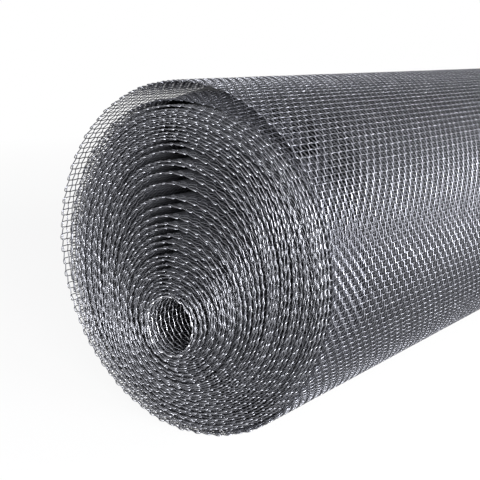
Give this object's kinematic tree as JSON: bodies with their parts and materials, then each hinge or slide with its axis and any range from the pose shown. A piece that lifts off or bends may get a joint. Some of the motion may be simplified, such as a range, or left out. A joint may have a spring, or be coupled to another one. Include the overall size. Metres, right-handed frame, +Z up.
{
  "type": "roll of wire screen mesh",
  "caption": "Loose roll of fine woven galvanised wire mesh lying on its side, its sagging turns showing at both ends around an open bore.",
  "frame": {"origin": "centre of the underside of the bounding box, on the floor under the middle of the roll", "axes": "+X along the roll, +Y across it, +Z up as it lies"},
  "size_m": [0.5, 0.12, 0.12],
  "materials": {
    "galvanised_wire": "dull galvanised woven wire"
  },
  "bodies": {
    "root": {"mesh_roll": "galvanised_wire"}
  },
  "joints": []
}
